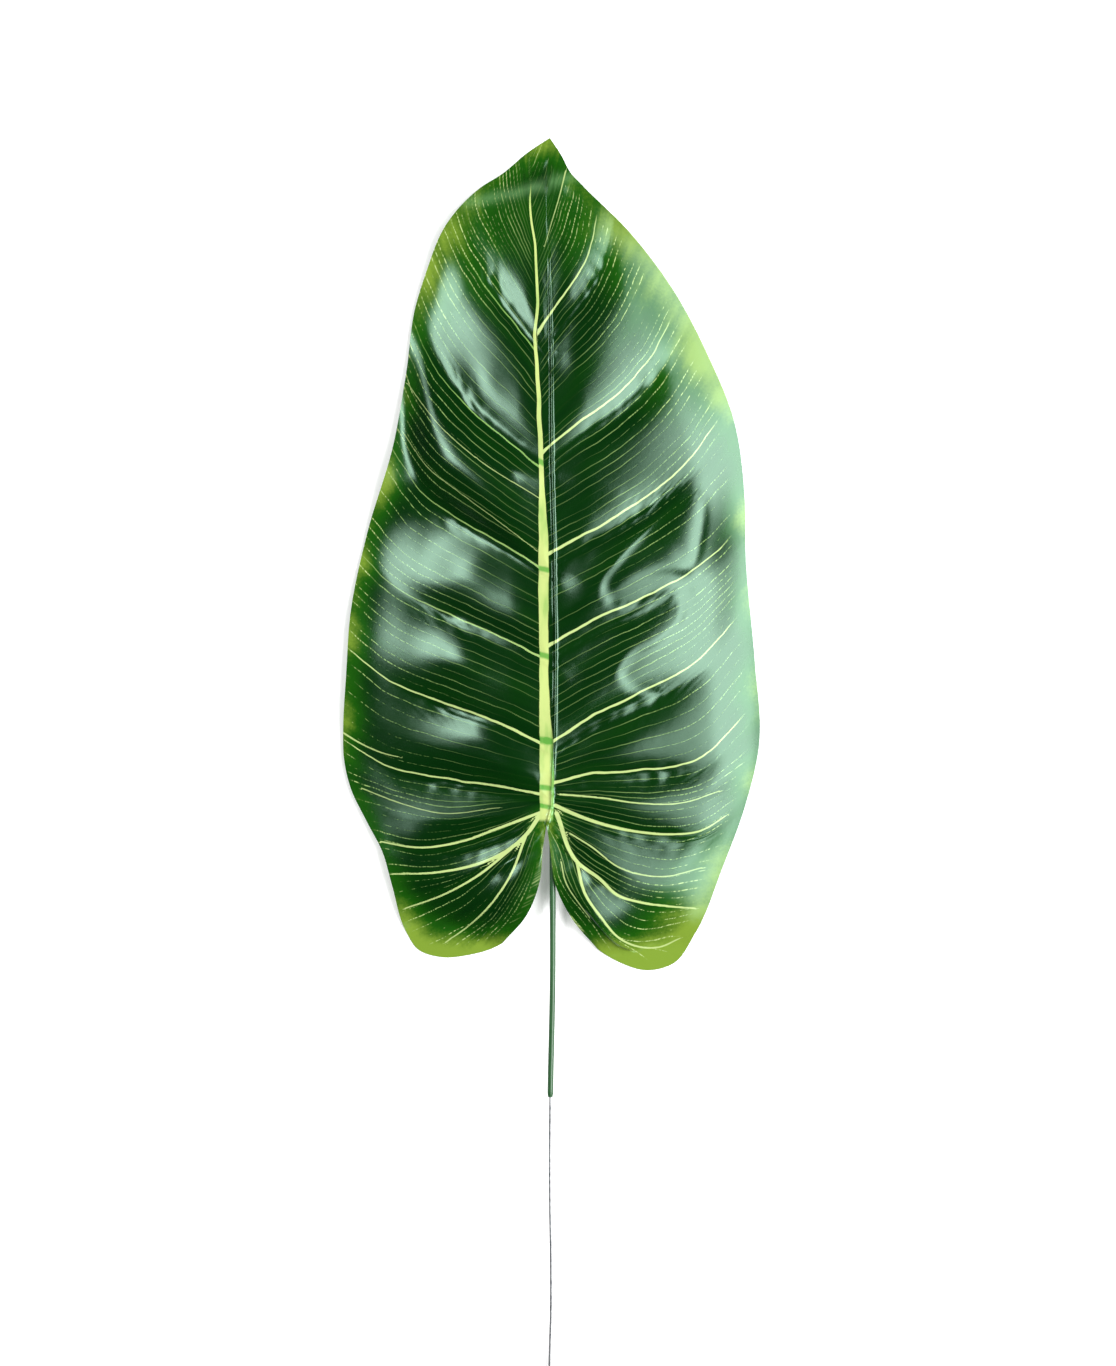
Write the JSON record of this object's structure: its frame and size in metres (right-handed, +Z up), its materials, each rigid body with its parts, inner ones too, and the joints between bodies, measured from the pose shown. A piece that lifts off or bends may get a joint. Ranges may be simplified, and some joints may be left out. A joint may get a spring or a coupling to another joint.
{
  "type": "artificial tropical leaf",
  "caption": "Large artificial leaf with a waved, glossy printed cloth blade, rounded lobes at its base, a moulded rib behind it and a plastic-sleeved wire stem with a bare lower end.",
  "frame": {"origin": "on the surface the leaf lies on, under the middle of its whole length and width", "axes": "+Y along the leaf from the stem's cut end to the tip, +Z up out of the printed face, +X across to the right lobe"},
  "size_m": [0.187, 0.58, 0.0208],
  "materials": {
    "printed_cloth": "printed woven polyester with a glossy coating",
    "moulded_plastic": "dark green, slightly glossy",
    "galvanised_steel": "dull zinc-coated wire"
  },
  "bodies": {
    "root": {"leaf_blade": "printed_cloth", "stem_moulding": "moulded_plastic", "stem_wire": "galvanised_steel"}
  },
  "joints": []
}
